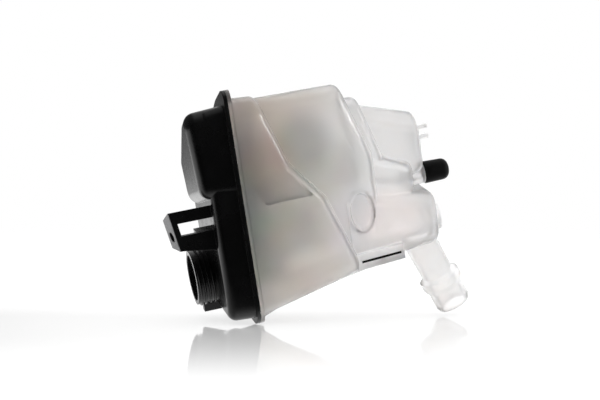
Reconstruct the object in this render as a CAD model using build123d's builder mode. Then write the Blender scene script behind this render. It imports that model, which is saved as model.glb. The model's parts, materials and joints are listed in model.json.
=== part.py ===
from build123d import *
import math
import os

os.makedirs("parts", exist_ok=True)

# Coolant expansion tank, millimetres. The origin is the middle of the filler mouth, on its
# rim, +Z is up along the filler neck and +X runs along the tank, away from the neck.
# Plan sizes are from the middle of the tank, heights and depths from the weld.

# middle of the tank and the weld, seen from the filler mouth
body_x = 52.0
body_y = -8.0
weld_z = -43.0
wall = 3.0

# plan at the weld: west end, east end, front, back, and how far the east end slants in
west = -83.0
east = 113.5
front = -55.0
back = 50.0
shoulder = 15.5
head_inset = 5.0
slant = 57.5
plan_radius = 15.0
tip_radius = 4.0

# weld lips, one on each moulding
lip_width = 5.0
lip_thick = 3.2

# upper moulding
tray_height = 25.5
dome_height = 38.0
dome_fall = 3.5
dome_west = 12.0
roof_radius = 8.0
dome_radius = 10.0

# filler neck: the body of it, under its thread
neck_radius = 23.6
neck_bore = 20.0
stop_reach = 27.0
stop_high = 12.0

# fixing bracket in front of the neck
bracket_front = -42.0
bracket_deep = 17.0
bracket_plate = 5.0
strut_east = 21.5
strut_wide = 10.5
strut_taper = 9.5
leg_wide = 18.0
window_wide = 11.0
plate_high = 60.0
plate_fall = 9.1
plate_nod = 13.4
bolt_hole = 4.5
bolt_room = 20.0

# lower moulding: depth of the front lobe at its two ends, then of each step
front_east = 24.0
front_bend = 46.0
front_knee = 73.0
front_west = 97.0
back_depth = 120.0
back_east = 97.0
ledge_step = 11.0
toe_depth = 169.0
sump_depth = 171.0
saddle_depth = 156.0
floor_radius = 8.0
foot_radius = 11.0
baffle_thick = 2.5

# overflow nipple and the cap on it
nipple_y = 5.0
boss_radius = 9.0
boss_depth = 172.0
nipple_radius = 7.0
nipple_bore = 4.5
nipple_depth = 190.0
cap_radius = 9.7
cap_gap = 0.15
cap_depth = 195.0

# hose spigot: lengths along its own line, from where it leaves the wall
spigot_y = -4.0
spigot_slope = 20.7
spigot_radius = 14.6
spigot_bore = 11.0
bead_radius = 18.2
bead_start = 27.0
bead_end = 42.0
pilot_radius = 15.6
spigot_long = 60.0

# black strip in the guide rail
strip_wide = 1.8
strip_deep = 4.5
strip_long = 35.0
strip_gap = 0.1


def level(height):
    """The plane at a height over the weld, in the tank's own plan coordinates."""
    return Plane((body_x, body_y, weld_z + height))


def facing(depth):
    """The plane seen from the front, its own Y being height over the weld."""
    return Plane((body_x, body_y + depth, weld_z), x_dir=(1, 0, 0), z_dir=(0, -1, 0))


def box_plan(x0, x1, y0, y1):
    return [(x0, y0), (x1, y0), (x1, y1), (x0, y1)]


def at_height(height):
    return lambda edge: abs(edge.center().Z - weld_z - height) < 0.05


def rounded(radius, tip):
    """Rounds the corners of the sketch being drawn, its most eastern one by its own radius."""
    fillet(vertices().sort_by(Axis.X)[:-1], radius)
    fillet(vertices().sort_by(Axis.X)[-1], tip)


def lobe(levels, radius, inset, tip=None):
    """A moulded lobe: a rounded outline on each of two planes, joined by drafted sides."""
    with BuildPart() as block:
        for plane, points in levels:
            with BuildSketch(plane):
                with BuildLine():
                    Polyline(*points, close=True)
                make_face()
                if tip:
                    rounded(radius, tip)
                else:
                    fillet(vertices(), radius)
                if inset:
                    offset(amount=-inset, mode=Mode.REPLACE)
        loft(ruled=True)
    return block.part


def lip(thick):
    """The weld lip that runs round a moulding, as a plate."""
    with BuildPart() as plate:
        with BuildSketch(level(0)):
            with BuildLine():
                Polyline(*weld_plan, close=True)
            make_face()
            rounded(plan_radius, tip_radius)
            offset(amount=lip_width, mode=Mode.REPLACE)
        extrude(amount=thick)
    return plate.part


def trimmed(part, points, radius):
    """The part without what lies inside an outline seen from the front, its floor rounded."""
    with BuildPart() as block:
        add(part)
        with BuildSketch(facing(front - 30)):
            with BuildLine():
                Polyline(*points, close=True)
            make_face()
        extrude(amount=front - back - 60, mode=Mode.SUBTRACT)
        floors = block.faces().filter_by(lambda face: face.normal_at().Z < -0.6)
        every = [edge for face in floors for edge in face.edges()]
        once = [edge for edge in every if sum(edge.is_same(other) for other in every) == 1]
        fillet(once, radius)
    return block.part


weld_plan = [
    (west, front), (east, front), (east - shoulder, front + 36), (east - slant, back), (west, back),
]


# Upper moulding: a shallow tray, a dome over its east part, the filler neck and the bracket
def tray(inset):
    low = [
        (west, front), (east - head_inset, front), (east - head_inset - shoulder, front + 36),
        (east - head_inset - slant, back), (west, back),
    ]
    high = [
        (west + 1, front + 2), (east - head_inset - 3, front + 2),
        (east - head_inset - shoulder - 3, front + 36), (east - head_inset - slant - 3, back - 4),
        (west + 1, back - 4),
    ]
    with BuildPart() as block:
        ends = [(level(0), low), (level(tray_height - inset), high)]
        add(lobe(ends, plan_radius, inset, roof_radius + 2))
        fillet(block.edges().filter_by(at_height(tray_height - inset)), roof_radius - inset)
    return block.part


def dome(inset):
    out = 0.8
    end = east + out - head_inset
    low = [
        (dome_west + 15, front - out), (end, front - out), (end - shoulder, front + 36),
        (east - slant - 2, back - 8), (dome_west - 11, back - 6),
    ]
    high = [
        (dome_west + 18, front + 2), (east - 6, front + 2), (east - shoulder - 6, front + 35),
        (east - slant - 8, back - 17), (dome_west - 8, back - 13),
    ]
    with BuildPart() as block:
        add(lobe([(level(0), low), (dome_roof.offset(-inset), high)], plan_radius - 2, inset))
        fillet(block.faces().sort_by(Axis.Z)[-1].edges(), dome_radius - inset)
    return block.part


def under_plate(part, drop):
    """The part without what stands over the plate's face, or over a plane so far under it."""
    with BuildPart() as block:
        add(part)
        with BuildSketch(bolt_face.offset(-drop)):
            Rectangle(160, 160)
        extrude(amount=60, mode=Mode.SUBTRACT)
    return block.part


def slab(points, y0, deep):
    """A block with an outline seen from the front, deep from its front at y0."""
    with BuildPart() as block:
        with BuildSketch(facing(y0)):
            with BuildLine():
                Polyline(*points, close=True)
            make_face()
        extrude(amount=-deep)
    return block.part


def slope(degrees):
    return math.tan(math.radians(degrees))


# roof of the dome, falling to the west, and the bracket's face, falling to the west and front
dome_roof = Plane(
    (body_x, body_y, weld_z + dome_height - slope(dome_fall) * east),
    x_dir=(1, 0, slope(dome_fall)), z_dir=(-slope(dome_fall), 0, 1),
)
bolt_face = Plane(
    (body_x - 1.5, body_y + bracket_front + bracket_deep / 2, weld_z + plate_high),
    x_dir=(0, 1, slope(plate_nod)), z_dir=(-slope(plate_fall), -slope(plate_nod), 1),
)
root = tray_height - wall
neck_root = tray_height - roof_radius - wall

# bracket: a strut and a wide leg under a sloping plate, the leg cored from behind and its
# inner wall cut down to leave room for the bolt
leg_east = strut_east - strut_wide - window_wide
leg_west = leg_east - leg_wide
with BuildPart() as bracket:
    tall = plate_high + 30
    outline = [
        (strut_east, root), (strut_east, tall), (leg_west + 5, tall), (leg_west + 5, plate_high - 6),
        (leg_west, root),
    ]
    gap = [
        (leg_east, root), (strut_east - strut_wide, root), (strut_east - strut_wide, tall), (leg_east, tall),
    ]
    core = [
        (leg_east - 4, tray_height), (leg_east - 4, plate_high - bolt_room),
        (leg_east + 1, plate_high - bolt_room), (leg_east + 1, tall), (leg_west + 8, tall),
        (leg_west + 4, tray_height),
    ]
    add(under_plate(slab(outline, bracket_front, bracket_deep), 0))
    add(under_plate(slab(gap, bracket_front - 5, bracket_deep + 10), bracket_plate), mode=Mode.SUBTRACT)
    add(under_plate(slab(core, bracket_front + 4, bracket_deep), bracket_plate), mode=Mode.SUBTRACT)
    with BuildSketch(level(root)):
        with BuildLine():
            Polyline(
                (strut_east, bracket_front), (strut_east + 5, bracket_front),
                (strut_east + 5, bracket_front + bracket_deep),
                (strut_east - strut_taper, bracket_front + bracket_deep), close=True,
            )
        make_face()
    extrude(amount=tall, mode=Mode.SUBTRACT)

with BuildPart() as upper_shell:
    add(tray(0))
    add(dome(0))
    add(lip(lip_thick))
    # filler neck, and the stop that ends the turn of a closure
    with BuildSketch(level(neck_root)):
        with Locations((-body_x, -body_y)):
            Circle(neck_radius)
    extrude(amount=-weld_z - neck_root)
    with BuildSketch(level(neck_root)):
        with Locations((-body_x - stop_reach, -body_y)):
            Rectangle(8, 8)
    extrude(amount=tray_height - neck_root + stop_high)
    add(bracket.part)
    # hollow, filler bore and bolt hole
    add(tray(wall), mode=Mode.SUBTRACT)
    add(dome(wall), mode=Mode.SUBTRACT)
    with BuildSketch(Plane.XY):
        Circle(neck_bore)
    extrude(amount=weld_z + 4, mode=Mode.SUBTRACT)
    with BuildSketch(bolt_face.offset(3)):
        Circle(bolt_hole)
    extrude(amount=-bracket_plate - 6, mode=Mode.SUBTRACT)
upper_shell.part.label = "upper_shell"
export_step(upper_shell.part, "parts/upper_shell.step")


# Lower moulding: lobes that step down from the weld to a toe and a sump
def front_lobe(inset):
    high = [
        (west, front), (east + 3, front), (east - shoulder, front + 36),
        (east - slant + 11, back - 25), (west, back - 25),
    ]
    low = [
        (west + 22, front + 8), (east - 5, front + 8), (east - shoulder - 8, front + 40),
        (east - slant, back - 30), (west + 22, back - 30),
    ]
    deep = front_west + 8
    below = [
        (east + 24, inset - front_east + 11), (east - 3.5, inset - front_east),
        (east - 69.5, inset - front_bend), (9, inset - front_knee), (west + 23, inset - front_west),
        (west - 27, inset - front_west - 18), (west - 27, -deep - 35), (east + 24, -deep - 35),
    ]
    block = lobe([(level(0), high), (level(-deep), low)], plan_radius, inset)
    return trimmed(block, below, floor_radius - inset)


def back_lobe(inset):
    high = [
        (west, front + 13), (east - 4.5, front + 11), (east - shoulder - 2, front + 38),
        (east - slant, back), (west, back),
    ]
    low = [
        (west + 23, front + 17), (east - 4.5, front + 15), (east - shoulder - 3, front + 37),
        (east - slant - 6, back - 8), (west + 23, back - 6),
    ]
    deep = max(back_depth, back_east) + 10
    below = [
        (east + 24, inset - back_east + 12), (east - 10.5, inset - back_east),
        (east - 77.5, inset - back_depth), (west - 37, inset - back_depth),
        (west - 37, -deep - 20), (east + 24, -deep - 20),
    ]
    return trimmed(lobe([(level(0), high), (level(-deep), low)], 12, inset), below, floor_radius - inset)


def ledge(inset):
    points = [
        (west + 33, front + 25), (east - 17.5, front + 24),
        (east - slant - 12, back - 15), (west + 33, back - 13),
    ]
    deep = max(back_depth, back_east) + ledge_step + 14
    below = [
        (east + 24, inset - back_east - ledge_step + 12),
        (east - 18.5, inset - back_east - ledge_step - 3),
        (east - 83.5, inset - back_depth - ledge_step), (west - 37, inset - back_depth - ledge_step),
        (west - 37, -deep - 15), (east + 24, -deep - 15),
    ]
    block = lobe([(level(-60), points), (level(-deep), points)], 11, inset)
    return trimmed(block, below, floor_radius - inset - 1)


def stepped(high, low, depth, radius, inset):
    """A lobe that hangs under the others, its floor edge rounded."""
    with BuildPart() as block:
        add(lobe([(level(-90), high), (level(inset - depth), low)], radius, inset))
        fillet(block.edges().filter_by(at_height(inset - depth)), floor_radius - inset)
    return block.part


def sump(inset):
    high = box_plan(west + 22, 8, front + 14, back - 8)
    low = box_plan(west + 28, -10, front + 22, back - 16)
    return stepped(high, low, sump_depth, 13, inset)


def toe(inset):
    high = [
        (-10, front + 29), (east - 41.5, front + 28), (east - shoulder - 13, front + 47),
        (east - slant - 2, back - 17), (-10, back - 14),
    ]
    low = [
        (6, front + 38), (east - 69.5, front + 37), (east - shoulder - 39, front + 53),
        (east - slant - 14, back - 26), (6, back - 22),
    ]
    return stepped(high, low, toe_depth, 10, inset)


def saddle(inset):
    high = box_plan(-30, 48, front + 16, back - 19)
    low = box_plan(-22, 18, front + 29, back - 22)
    return stepped(high, low, saddle_depth, 10, inset)


def pocket(inset):
    """An oval tie pocket in the front wall, drawn in to stiffen it."""
    with BuildPart() as block:
        with BuildSketch(facing(front + 7)):
            with Locations((-12, -103)):
                Ellipse(20 + inset, 13 + inset)
        with BuildSketch(facing(front + 20.5 + inset)):
            with Locations((-12, -103)):
                Ellipse(15 + inset, 8.5 + inset)
        loft(ruled=True)
    return block.part


with BuildPart() as hull:
    add(front_lobe(0))
    add(back_lobe(0))
    add(ledge(0))
    add(sump(0))
    add(toe(0))
    add(saddle(0))

with BuildPart() as hollow:
    add(front_lobe(wall))
    add(back_lobe(wall))
    add(ledge(wall))
    add(sump(wall))
    add(toe(wall))
    add(saddle(wall))
    add(pocket(wall), mode=Mode.SUBTRACT)

# slosh wall across the tank, as tall as the front lobe is deep there
with BuildPart() as baffle:
    add(hull.part)
    with BuildSketch(facing(front - 5)):
        with Locations((15, -41)):
            Rectangle(baffle_thick, 40)
    extrude(amount=front - back - 10, mode=Mode.INTERSECT)

def strip_outline(gap):
    """Outline of the strip seen from the front, leaning with the wall behind it."""
    half = strip_wide / 2 + gap
    top = gap + 1 - front_west
    end = top - strip_long - 2 * gap
    x = west + 29
    return [(x - half, top), (x + half, top), (x + 2 + half, end), (x + 2 - half, end)]


spigot_run = (-math.cos(math.radians(spigot_slope)), 0, -math.sin(math.radians(spigot_slope)))
spigot_foot = (body_x + west + 19, body_y + spigot_y, weld_z - sump_depth + 10)
spigot_side = Plane(spigot_foot, x_dir=spigot_run, z_dir=(0, -1, 0))
spigot_line = Axis(spigot_foot, spigot_run)

with BuildPart() as lower_shell:
    add(hull.part)
    add(lip(-lip_thick))
    # hose spigot: tube, bead and pilot turned about one line
    with BuildSketch(spigot_side):
        with BuildLine():
            Polyline(
                (-24, 0), (-24, spigot_radius), (bead_start, spigot_radius - 0.6),
                (bead_start + 3, bead_radius), (bead_end - 5, bead_radius), (bead_end, pilot_radius),
                (spigot_long - 3, pilot_radius), (spigot_long, pilot_radius - 1.5), (spigot_long, 0),
                close=True,
            )
        make_face()
    revolve(axis=spigot_line)
    # overflow nipple on its boss
    with BuildSketch(level(6 - saddle_depth)):
        with Locations((0, nipple_y)):
            Circle(boss_radius)
    extrude(amount=saddle_depth - 6 - boss_depth)
    with BuildSketch(level(6 - saddle_depth)):
        with Locations((0, nipple_y)):
            Circle(nipple_radius)
    extrude(amount=saddle_depth - 6 - nipple_depth)
    # locating foot, two prongs, guide rail and the rib under the weld lip
    with BuildSketch(level(11 - sump_depth)):
        with Locations((west + 43, 0)):
            Circle(6)
    extrude(amount=-16)
    with BuildSketch(level(-4 - sump_depth)):
        with Locations((west + 43, 0)):
            Circle(foot_radius)
    extrude(amount=-4)
    with BuildSketch(level(19 - toe_depth)):
        with Locations((east - 73.5, 12), (east - 82.5, 12)):
            Rectangle(3, 9)
    extrude(amount=-32)
    with BuildSketch(facing(front + 11.5)):
        with BuildLine():
            Polyline(
                (west + 22, 5 - front_west), (west + 36, 5 - front_west),
                (west + 38, -37 - front_west), (west + 25, -37 - front_west), close=True,
            )
        make_face()
    extrude(amount=-15)
    with BuildSketch(facing(front + 15)):
        with BuildLine():
            Polyline((west - 3, -1), (west + 12, -1), (west + 16, -34), (west + 5, -22), close=True)
        make_face()
    extrude(amount=-4)
    add(hollow.part, mode=Mode.SUBTRACT)
    add(baffle.part)
    add(pocket(0), mode=Mode.SUBTRACT)
    # groove of the guide rail
    with BuildSketch(facing(front + 10.5)):
        with BuildLine():
            Polyline(*strip_outline(strip_gap), close=True)
        make_face()
    extrude(amount=-1 - strip_deep - strip_gap, mode=Mode.SUBTRACT)
    # bores of the spigot and the nipple
    with BuildSketch(spigot_side):
        with BuildLine():
            Polyline(
                (-30, 0), (-30, spigot_bore), (spigot_long + 1, spigot_bore), (spigot_long + 1, 0),
                close=True,
            )
        make_face()
    revolve(axis=spigot_line, mode=Mode.SUBTRACT)
    with BuildSketch(level(11 - saddle_depth)):
        with Locations((0, nipple_y)):
            Circle(nipple_bore)
    extrude(amount=saddle_depth - 11 - nipple_depth - 1, mode=Mode.SUBTRACT)
lower_shell.part.label = "lower_shell"
export_step(lower_shell.part, "parts/lower_shell.step")

# Push-on rubber cap that closes the nipple
with BuildPart() as nipple_cap:
    with BuildSketch(level(-boss_depth - 0.4)):
        with Locations((0, nipple_y)):
            Circle(cap_radius)
    extrude(amount=boss_depth + 0.4 - cap_depth)
    fillet(nipple_cap.edges().filter_by(at_height(-cap_depth)), 2.5)
    with BuildSketch(level(-boss_depth - 0.4)):
        with Locations((0, nipple_y)):
            Circle(nipple_radius + cap_gap)
    extrude(amount=boss_depth + 0.4 - nipple_depth - 0.5, mode=Mode.SUBTRACT)
nipple_cap.part.label = "nipple_cap"
export_step(nipple_cap.part, "parts/nipple_cap.step")

# Black strip pressed into the guide rail
with BuildPart() as rail_strip:
    with BuildSketch(facing(front + 11.2)):
        with BuildLine():
            Polyline(*strip_outline(0), close=True)
        make_face()
    extrude(amount=-strip_deep)
rail_strip.part.label = "rail_strip"
export_step(rail_strip.part, "parts/rail_strip.step")
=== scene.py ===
import json
import math

import bpy
import numpy as np
from mathutils import Matrix, Vector


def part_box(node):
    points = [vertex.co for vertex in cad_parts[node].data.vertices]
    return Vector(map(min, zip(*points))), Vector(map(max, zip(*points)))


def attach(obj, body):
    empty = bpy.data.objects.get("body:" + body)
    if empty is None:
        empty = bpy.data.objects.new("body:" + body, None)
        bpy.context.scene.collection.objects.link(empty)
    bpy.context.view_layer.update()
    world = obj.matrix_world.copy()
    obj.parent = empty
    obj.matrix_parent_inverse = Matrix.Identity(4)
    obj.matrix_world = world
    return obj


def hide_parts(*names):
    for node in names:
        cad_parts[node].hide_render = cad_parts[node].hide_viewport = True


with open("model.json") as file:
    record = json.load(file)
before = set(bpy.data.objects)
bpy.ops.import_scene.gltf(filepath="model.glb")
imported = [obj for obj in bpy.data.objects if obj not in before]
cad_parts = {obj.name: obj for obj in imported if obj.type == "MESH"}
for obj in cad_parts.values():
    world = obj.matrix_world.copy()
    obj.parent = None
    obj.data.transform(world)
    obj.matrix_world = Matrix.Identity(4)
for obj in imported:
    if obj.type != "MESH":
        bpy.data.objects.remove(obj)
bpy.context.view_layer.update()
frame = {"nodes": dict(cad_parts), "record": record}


# Lower moulding: a thin-walled tank bottom, injection moulded in natural polypropylene. The
# plastic is milky, so light comes softly through its walls; painted shade darkens it by the weld,
# soft tints are partly stains and partly painted shade and light, and the slosh wall inside is
# lightened with painted light and made rougher so that it shows only faintly.
class Signal:
    """One output of a node tree. Sums and products of signals and numbers add Math nodes.
    node() adds any other node, its settings first and then its sockets, and gives an output."""

    def __init__(self, tree, socket=None):
        self.tree, self.socket = tree, socket

    def node(self, kind, settings=None, sockets=None, out=0):
        made = self.tree.nodes.new(kind)
        for name, value in (settings or {}).items():
            if name == "stops":
                elements = made.color_ramp.elements
                for element, (place, colour) in zip(elements, (value[0], value[-1])):
                    element.position, element.color = place, colour
                for place, colour in value[1:-1]:
                    elements.new(place).color = colour
            else:
                setattr(made, name, value)
        for key, value in (sockets or {}).items():
            if isinstance(value, Signal):
                self.tree.links.new(value.socket, made.inputs[key])
            else:
                made.inputs[key].default_value = value
        return Signal(self.tree, made.outputs[out]) if len(made.outputs) else None

    def math(self, operation, first, second=0.0):
        return self.node("ShaderNodeMath", {"operation": operation}, {0: first, 1: second})

    def __add__(self, other):
        return self.math("ADD", self, other)

    def __sub__(self, other):
        return self.math("SUBTRACT", self, other)

    def __rsub__(self, other):
        return self.math("SUBTRACT", other, self)

    def __mul__(self, other):
        return self.math("MULTIPLY", self, other)

    __radd__ = __add__
    __rmul__ = __mul__

    def most(self, other):
        """The greater of this and another signal."""
        return self.math("MAXIMUM", self, other)

    def size(self):
        """This without its sign."""
        return self.math("ABSOLUTE", self)

    def step(self, low, high):
        """0 below low, 1 above high and a smooth rise between them."""
        limits = {"Value": self, "From Min": low, "From Max": high}
        return self.node("ShaderNodeMapRange", {"interpolation_type": "SMOOTHSTEP"}, limits)

    def blend(self, dark, light):
        """The colour dark where this is 0 and light where it is 1."""
        return self.node("ShaderNodeMix", {"data_type": "RGBA"}, {0: self, 6: dark, 7: light}, out=2)

    def vector(self, operation, other=(0, 0, 0)):
        """Vector Math with another vector: a difference is a vector, and all others are numbers."""
        out = "Vector" if operation == "SUBTRACT" else "Value"
        return self.node("ShaderNodeVectorMath", {"operation": operation}, {0: self, 1: other}, out=out)

    def parts(self):
        """The X, Y and Z of a vector."""
        first = self.node("ShaderNodeSeparateXYZ", None, {0: self})
        return [Signal(self.tree, socket) for socket in first.socket.node.outputs]


def new_finish(name):
    """An empty material, with the object's own coordinates as its first signal."""
    material = bpy.data.materials.new(name)
    material.use_nodes = True
    material.node_tree.nodes.clear()
    place = Signal(material.node_tree).node("ShaderNodeTexCoord", out="Object")
    return material, place


def noise(place, scale, detail=3.0, rough=0.55, out="Fac"):
    """Soft noise from 0 to 1, or in colours, scale being its cycles in a metre."""
    settings = {"Vector": place, "Scale": scale, "Detail": detail, "Roughness": rough}
    return place.node("ShaderNodeTexNoise", None, settings, out=out)


def relief(place, height, strength, edge):
    """A normal with fine relief of up to 0.2 mm, on a surface whose sharp edges are rounded off
    by the radius edge."""
    rounded = place.node("ShaderNodeBevel", {"samples": 6}, {"Radius": edge})
    settings = {"Strength": strength, "Distance": 0.0002, "Height": height, "Normal": rounded}
    return place.node("ShaderNodeBump", None, settings)


def surface(place, sockets):
    """The one shader of a finish and its output."""
    shader = place.node("ShaderNodeBsdfPrincipled", None, sockets)
    place.node("ShaderNodeOutputMaterial", None, {"Surface": shader})


def dress(node, material):
    """Gives a CAD node its finish."""
    slots = frame["nodes"][node].data.materials
    slots.clear()
    slots.append(material)


milky, place = new_finish("milky_polypropylene")
sideways, depth, height = place.parts()
cloud = noise(place, 16.0, detail=2.0).step(0.35, 0.68)
stain = noise(place, 9.0).step(0.42, 0.72)

# Painted shade: the plastic's colour darkens from its foot up to the weld, where the black
# upper moulding shades the wall. Faint warm stains lie over it.
shell_foot, shell_top, unevenness = -0.235, -0.040, 0.10
up_wall = height.step(shell_foot, shell_top) + (cloud - 0.5) * unevenness
painted_shade_stops = (
    (0.0, (0.942, 0.938, 0.938, 1)),
    (0.40, (0.92, 0.915, 0.915, 1)),
    (0.95, (0.72, 0.665, 0.61, 1)),
    (1.0, (0.56, 0.52, 0.50, 1)),
)
painted_wall_shade = up_wall.node("ShaderNodeValToRGB", {"stops": painted_shade_stops}, {0: up_wall})
warm_stain, stain_share = (0.76, 0.69, 0.64, 1), 0.35
shade = (stain * stain_share).blend(painted_wall_shade, warm_stain)

# Painted shadow: a dark band beside the weld, between its two ends, where the black upper
# moulding shades the milky wall.
band_low, band_high = -0.092, -0.048
west_start, west_end, east_start, east_end = -0.026, 0.004, 0.112, 0.148
weld_shadow_band = height.step(band_low, band_high)
weld_shadow_band = weld_shadow_band * (1.0 - sideways.step(east_start, east_end)) * sideways.step(west_start, west_end)
weld_shadow_grey, weld_shadow_share = (0.34, 0.36, 0.345, 1), 0.88
shade = (weld_shadow_band * weld_shadow_share).blend(shade, weld_shadow_grey)

# Soft tints, partly stains and partly painted shade and light: the dark grey ones are painted
# shade and the near white ones painted light. The middle of each, its reach, its share and its colour.
tints_and_painted_shade = (
    ((0.110, -0.058, -0.103), 0.036, 0.90, (0.34, 0.36, 0.34, 1)),
    ((0.105, -0.060, -0.069), 0.034, 0.50, (0.44, 0.32, 0.29, 1)),
    ((0.086, -0.052, -0.121), 0.045, 0.60, (0.52, 0.53, 0.51, 1)),
    ((0.037, -0.058, -0.080), 0.048, 0.68, (0.42, 0.45, 0.44, 1)),
    ((0.0025, -0.060, -0.091), 0.030, 0.45, (0.94, 0.93, 0.91, 1)),
    ((0.034, -0.050, -0.136), 0.042, 0.42, (0.62, 0.65, 0.70, 1)),
    ((0.026, -0.046, -0.171), 0.040, 0.60, (0.98, 0.88, 0.86, 1)),
    ((-0.001, -0.053, -0.157), 0.026, 0.60, (1.0, 1.0, 1.0, 1)),
    ((-0.021, -0.063, -0.058), 0.034, 0.85, (0.96, 0.95, 0.94, 1)),
)
tint_core = 0.35
for middle, reach, share, tint in tints_and_painted_shade:
    apart = place.vector("DISTANCE", middle)
    mark = (1.0 - apart.step(reach * tint_core, reach)) * (0.7 + cloud * 0.3)
    shade = (mark * share).blend(shade, tint)

# The slosh wall's faces: a thin upright plate inside the drafted walls. Painted light: its faces
# are painted white to lift the dark line of shade that it would show through the milky wall.
slosh_x, slosh_half, slosh_foot = 0.067, 0.0025, -0.1035
weld, front, back, draft, fade = -0.043, -0.060, 0.0346, 0.0762, 0.0006
inside = (depth + (height - weld) * draft).step(front, front + fade)
inside = inside * (1.0 - depth.step(back, back + fade)) * height.step(slosh_foot, slosh_foot + 0.001)
slosh_wall = (1.0 - (sideways - slosh_x).size().step(slosh_half - 0.0005, slosh_half)) * inside
shade = slosh_wall.blend(shade, (1, 1, 1, 1))

tints = noise(place, 42.0, detail=1.0, rough=0.4, out="Color")
overlay, pastel_share = {"data_type": "RGBA", "blend_type": "OVERLAY"}, 0.08
pastel = place.node("ShaderNodeMix", overlay, {0: pastel_share, 6: shade, 7: tints}, out=2)
grain = noise(place, 1400.0, detail=2.0)
flow = noise(place, 90.0, detail=2.0)
surface(place, {
    "Base Color": pastel,
    "Roughness": flow * 0.04 + slosh_wall * 0.2 + 0.295,
    "IOR": 1.22,
    "Transmission Weight": 0.88,
    "Coat Weight": 0.8,
    "Coat Roughness": 0.03,
    "Coat IOR": 1.45,
    "Subsurface Weight": 1.0,
    "Subsurface Radius": (1.0, 0.93, 0.86),
    "Subsurface Scale": 0.0015,
    "Normal": relief(place, grain + flow * 2.0, strength=0.12, edge=0.0025),
})
dress("lower_shell", milky)


# Upper moulding: the tank's top, its filler neck and its bracket, one injection moulding in
# black polypropylene with a polished outside, hot-plate welded to the lower one at its lip.
# The outer face of the bracket, where its bolt goes through, is worn to a dull grey.
black, place = new_finish("black_polypropylene")
grain = noise(place, 1100.0, detail=2.0)
haze = noise(place, 28.0, detail=4.0).step(0.4, 0.75)
hole = next(mount for mount in frame["record"]["mounts"] if mount["name"] == "bracket_hole")
over_face = place.vector("SUBTRACT", hole["pos_m"]).vector("DOT_PRODUCT", hole["axis"])
face_start, face_end = -0.0006, -0.0001
scuff = noise(place, 260.0, detail=4.0, rough=0.7).step(0.25, 0.6)
scuff = scuff * over_face.step(face_start, face_end)
deep_black, hazy_black = (0.0012, 0.0012, 0.0013, 1), (0.0022, 0.0022, 0.0024, 1)
worn_grey = (0.26, 0.26, 0.265, 1)
surface(place, {
    "Base Color": (scuff * 0.8).blend(haze.blend(deep_black, hazy_black), worn_grey),
    "Roughness": haze * 0.08 + scuff * 0.2 + 0.24,
    "Specular IOR Level": 0.45,
    "Normal": relief(place, grain, strength=0.10, edge=0.0009),
})
dress("upper_shell", black)


# Filler thread: a coarse single-start ridge that the same moulding carries round its neck,
# run out to nothing at both ends.
def put_mesh(name, loops, ends=True):
    """A mesh on rows of points, each row a closed loop that is joined to the next by faces facing
    du x dv, u counting the loops and v the points; ends closes the first and last loop."""
    rows, cols = loops.shape[:2]
    u, v = np.meshgrid(np.arange(rows - 1), np.arange(cols), indexing="ij")
    after = (v + 1) % cols
    corners = [u * cols + v, (u + 1) * cols + v, (u + 1) * cols + after, u * cols + after]
    faces = np.stack(corners, -1).reshape(-1, 4).tolist()
    if ends:
        loop = np.arange(cols)
        faces += [loop.tolist(), ((rows - 1) * cols + loop[::-1]).tolist()]
    mesh = bpy.data.meshes.new(name)
    mesh.from_pydata(loops.reshape(-1, 3).tolist(), [], faces)
    mesh.polygons.foreach_set("use_smooth", np.ones(len(mesh.polygons), bool))
    piece = bpy.data.objects.new(name, mesh)
    bpy.context.scene.collection.objects.link(piece)
    return piece


def thread_ridge(root, height, width, pitch, low, turns, run_out=0.7):
    """A profile carried up a helix: at angle a the loop stands at height low + pitch a / 2 pi;
    its points are cosines, squared off to a flat crest, and it shrinks over run_out radians
    at both ends."""
    loops_per_turn, loop_points = 90, 16
    a = np.linspace(0, 2 * math.pi * turns, int(loops_per_turn * turns))[:, None]
    k = np.linspace(0, 2 * math.pi, loop_points, endpoint=False)[None, :]
    fade = np.clip(np.minimum(a, a[-1] - a) / run_out, 0.03, 1)
    out = np.sign(np.cos(k)) * np.abs(np.cos(k)) ** 0.6
    along = np.sign(np.sin(k)) * np.abs(np.sin(k)) ** 0.8 * (1 - 0.3 * np.clip(out, 0, 1))
    r = root + height * fade * out
    z = low + pitch * a / (2 * math.pi) + width / 2 * along * (0.4 + 0.6 * fade)
    return np.stack([r * np.cos(a), r * np.sin(a), z], -1)


ridge = thread_ridge(root=0.0235, height=0.0015, width=0.0022, pitch=0.0039, low=-0.0170, turns=3.9)
thread = put_mesh("filler_thread", ridge)
thread.data.materials.append(black)
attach(thread, "tank")


# Strip: a soft black rubber strip, pressed into the groove of the lower moulding's guide rail
# and standing a little proud of it.
rubber, place = new_finish("black_rubber")
bloom = noise(place, 60.0, detail=4.0).step(0.35, 0.7)
pores = noise(place, 2200.0, detail=2.0)
clean_rubber, bloomed_rubber = (0.0012, 0.0012, 0.0013, 1), (0.003, 0.003, 0.0032, 1)
surface(place, {
    "Base Color": bloom.blend(clean_rubber, bloomed_rubber),
    "Roughness": bloom * 0.15 + 0.45,
    "Specular IOR Level": 0.12,
    "Normal": relief(place, pores, strength=0.2, edge=0.0012),
})
dress("rail_strip", rubber)


# Cap: a moulded rubber cap pushed over the overflow nipple, which pulls straight off. Its wall
# tapers a little to a domed end, and its mouth has a rounded edge.
def turned(profile, centre, segments=72):
    """A profile turned about an upright line: the point (r, z) at angle a stands r along
    cos a and r along sin a from the centre, at height z."""
    a = np.linspace(0, 2 * math.pi, segments, endpoint=False)[None, :]
    r, z = np.array(profile).T[:, :, None]
    return np.stack([centre[0] + r * np.cos(a), centre[1] + r * np.sin(a), z + 0 * a], -1)


def rounding(r, z, radius, start, end):
    """Nine points of an arc about (r, z), from the angle start to the angle end in degrees."""
    a = np.radians(np.linspace(start, end, 9))
    return np.stack([r + radius * np.cos(a), z + radius * np.sin(a)], -1)


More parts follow.
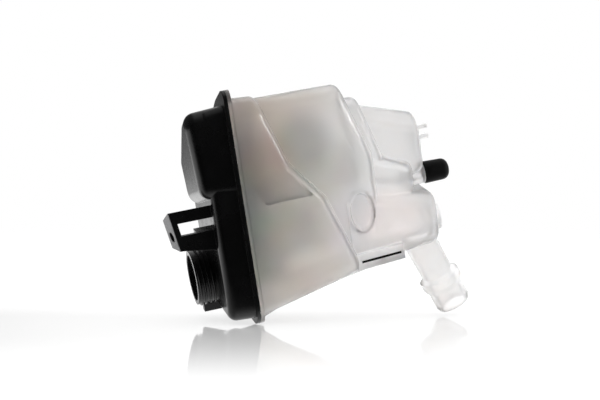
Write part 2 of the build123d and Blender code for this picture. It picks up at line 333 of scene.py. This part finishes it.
low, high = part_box("nipple_cap")
cap_centre = ((low[0] + high[0]) / 2, (low[1] + high[1]) / 2)
cap_radius = (high[0] - low[0]) / 2
bore_radius, bore_end, bore_edge = 0.00715, low[2] + 0.0045, 0.0004
mouth, taper, dome, pole = 0.0007, 0.0004, 0.0062, 0.0004
cap_profile = np.concatenate([
    [(pole, bore_end), (bore_radius - bore_edge, bore_end), (bore_radius, bore_end + bore_edge)],
    rounding(bore_radius + mouth, high[2] - mouth, mouth, 180, 90),
    rounding(cap_radius - mouth, high[2] - mouth, mouth, 90, 0),
    rounding(cap_radius - taper - dome, low[2] + dome, dome, 0, -84),
    [(pole, low[2])],
])
cap = put_mesh("rubber_cap", turned(cap_profile, cap_centre))
cap.data.materials.append(rubber)
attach(cap, "cap")
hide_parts("nipple_cap")


# Studio: the tank lies on its side on a pale glossy table before a white background, with
# soft light from all round and above, a dim room on the viewer's side and one strip lamp
# at the right. Right, up and toward are the picture's own directions.
tilt, nod, lean = math.radians(11.5), math.radians(11.0), math.radians(15.0)
neck_way = Vector((-math.cos(nod) * math.cos(tilt), -math.cos(nod) * math.sin(tilt), math.sin(nod)))
across = Vector((-math.sin(tilt), math.cos(tilt), 0))
long_way = across * math.cos(lean) + across.cross(neck_way) * math.sin(lean)
back_way = neck_way.cross(long_way)
right, up, toward = (Vector(v) for v in zip(long_way, back_way, neck_way))

eye = bpy.data.objects.new("camera", bpy.data.cameras.new("camera"))
eye.data.sensor_width = 36.0
eye.data.lens = 120.0
eye.data.clip_start, eye.data.clip_end = 0.05, 20.0
distance, aim_right, aim_up = 1.7138, 0.027, 0.005
tank_middle = Vector((0.052, -0.008, -0.0542))
aim = tank_middle + right * aim_right * distance + up * aim_up * distance
turn = Matrix((right, up, toward)).transposed()
eye.matrix_world = Matrix.Translation(aim + toward * distance) @ turn.to_4x4()
bpy.context.scene.collection.objects.link(eye)
bpy.context.scene.camera = eye

down_look = math.radians(2.75)
table_up = up * math.cos(down_look) + toward * math.sin(down_look)
table_in = table_up.cross(right).normalized()


def lowest(way):
    """How far the tank reaches along a direction, at its least."""
    reach = []
    for node in frame["nodes"].values():
        co = np.empty(len(node.data.vertices) * 3)
        node.data.vertices.foreach_get("co", co)
        reach.append((co.reshape(-1, 3) @ np.array(way)).min())
    return min(reach)


def table_top(middle, radius):
    """A flat disc of rings: the point at r and angle a stands r cos a to the right and r sin a
    inwards from the middle."""
    rings, ring_points, smallest = 24, 64, 0.001
    r = np.linspace(smallest, radius, rings)[:, None, None]
    a = np.linspace(0, 2 * math.pi, ring_points, endpoint=False)[None, :, None]
    return np.array(middle) + r * (np.cos(a) * np.array(right) + np.sin(a) * np.array(table_in))


def seen_by(place, *kinds):
    """1 for a ray of one of these kinds and 0 for any other."""
    found = place.node("ShaderNodeLightPath", out=kinds[0])
    for kind in kinds[1:]:
        found = found.most(place.node("ShaderNodeLightPath", out=kind))
    return found


def grey(level):
    """A colour with no hue."""
    return level, level, level, 1


table_gap, table_radius, fade_start, fade_end = 0.0003, 1.4, 0.55, 1.35
foot = aim + table_up * (lowest(table_up) - table_gap - aim.dot(table_up))
table = put_mesh("table", table_top(foot, table_radius), ends=False)
sheen, place = new_finish("pale_table")
offset = place.vector("SUBTRACT", foot)
nearer = offset.vector("DOT_PRODUCT", -table_in)
mirrored = seen_by(place, "Is Glossy Ray")

# The table fades out far off, isn't there from below, and is left out of the tank's own
# reflections on the viewer's side.
underneath = place.node("ShaderNodeNewGeometry", out="Backfacing")
ahead = offset.vector("DOT_PRODUCT", right * 0.4 - table_in * 0.92)
hide = underneath.most(offset.vector("LENGTH").step(fade_start, fade_end))
hide = hide.most(mirrored * ahead.step(-0.06, 0.08))

# A matt body that keeps the shadow, and a mirror that shows near the tank's foot.
seen = seen_by(place, "Is Camera Ray", "Is Glossy Ray", "Is Transmission Ray")
table_grey, glow_seen, glow_mirrored, mirror_ior = grey(0.62), grey(0.42), grey(0.68), 1.75
matt = place.node("ShaderNodeBsdfDiffuse", None, {"Color": table_grey})
shine = seen.blend(grey(0), mirrored.blend(glow_seen, glow_mirrored))
glow = place.node("ShaderNodeEmission", None, {"Color": shine})
lit = place.node("ShaderNodeAddShader", None, {0: matt, 1: glow})
mirror = place.node("ShaderNodeBsdfAnisotropic", None, {"Color": grey(1), "Roughness": 0.05})
skim = place.node("ShaderNodeFresnel", None, {"IOR": mirror_ior})
skim = skim * (1.0 - nearer.step(0.10, 0.50) * 0.95) * nearer.step(-0.25, -0.02)
glossy = place.node("ShaderNodeMixShader", None, {0: skim, 1: lit, 2: mirror})
clear = place.node("ShaderNodeBsdfTransparent")
whole = place.node("ShaderNodeMixShader", None, {0: hide, 1: glossy, 2: clear})
place.node("ShaderNodeOutputMaterial", None, {"Surface": whole})
table.data.materials.append(sheen)

# The room: white to the eye, with more light from above and less from the viewer's side.
room = bpy.data.worlds.new("studio")
room.use_nodes = True
room.node_tree.nodes.clear()
way = Signal(room.node_tree).node("ShaderNodeTexCoord")
shown = seen_by(way, "Is Camera Ray", "Is Transmission Ray")
viewer_side = way.vector("DOT_PRODUCT", toward).step(-0.1, 0.75)
left_side = way.vector("DOT_PRODUCT", -right).step(0.0, 0.4)
overhead = way.vector("DOT_PRODUCT", up).step(0.0, 0.9)
base_light, viewer_loss, overhead_gain = 1.14, 0.2, 0.25
light = base_light - viewer_side * viewer_loss + overhead * overhead_gain
gloss = (1.0 - viewer_side * 0.97) * (1.0 - left_side * 0.9)
light = light + (gloss - light) * seen_by(way, "Is Glossy Ray")
strength = light + (1.0 - light) * shown
backdrop = way.node("ShaderNodeBackground", None, {"Color": grey(1), "Strength": strength})
way.node("ShaderNodeOutputWorld", None, {"Surface": backdrop})
bpy.context.scene.world = room

lamp_width, lamp_length, lamp_power, lamp_away = 0.04, 0.60, 2.4, 1.2
strip = bpy.data.lights.new("strip_lamp", "AREA")
strip.shape, strip.size, strip.size_y = "RECTANGLE", lamp_width, lamp_length
strip.energy = lamp_power
lamp = bpy.data.objects.new("strip_lamp", strip)
lamp_way = (right * 0.92 + up * 0.12 + toward * 0.33).normalized()
lamp_turn = lamp_way.to_track_quat("Z", "Y").to_matrix().to_4x4()
lamp.matrix_world = Matrix.Translation(aim + lamp_way * lamp_away) @ lamp_turn
lamp.visible_camera = False
bpy.context.scene.collection.objects.link(lamp)

bpy.context.scene.view_settings.view_transform = "Standard"
